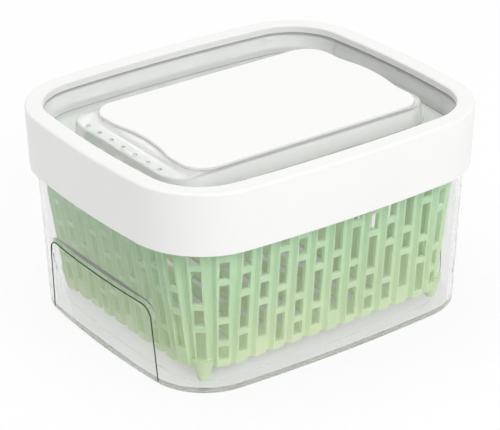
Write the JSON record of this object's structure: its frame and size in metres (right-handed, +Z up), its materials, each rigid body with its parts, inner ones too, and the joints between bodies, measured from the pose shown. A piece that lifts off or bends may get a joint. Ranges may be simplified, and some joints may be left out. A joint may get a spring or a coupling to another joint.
{
  "type": "produce_keeper",
  "caption": "Clear produce keeper with a slotted green basket, a white collar lid with a recessed clear panel, a sliding vent cover and a filter tray",
  "frame": {"origin": "bottom centre: the middle of the footprint on the table the box stands on", "axes": "+X along the long side, away from the end with the vent holes; +Y across the short side, away from the front; +Z up"},
  "size_m": [0.197, 0.1666, 0.1078],
  "materials": {
    "clear_box": "clear moulded plastic, polished",
    "clear_lid": "clear moulded plastic, polished",
    "green_basket": "soft translucent green plastic, satin",
    "white_plastic": "white moulded plastic, satin gloss",
    "white_inner": "white moulded plastic, matt",
    "seal_rubber": "soft pale silicone",
    "carbon_felt": "dark felt pad"
  },
  "bodies": {
    "box_body": {"container": "clear_box"},
    "basket_body": {"basket": "green_basket"},
    "lid_body": {"lid_collar": "white_plastic", "lid_panel": "clear_lid", "lid_seal": "seal_rubber", "filter_tray": "white_inner", "carbon_filter": "carbon_felt", "filter_cap": "white_inner"},
    "vent_body": {"vent_cover": "white_plastic", "vent_shutter": "white_inner"}
  },
  "joints": [
    {"name": "basket_lift", "type": "slide", "parent": "box_body", "child": "basket_body", "axis": [0, 0, 1], "range_m": [0, 0.105]},
    {"name": "lid_lift", "type": "slide", "parent": "basket_body", "child": "lid_body", "axis": [0, 0, 1], "range_m": [0, 0.06]},
    {"name": "vent_slide", "type": "slide", "parent": "lid_body", "child": "vent_body", "axis": [-1, 0, 0], "range_m": [0, 0.0116]}
  ]
}
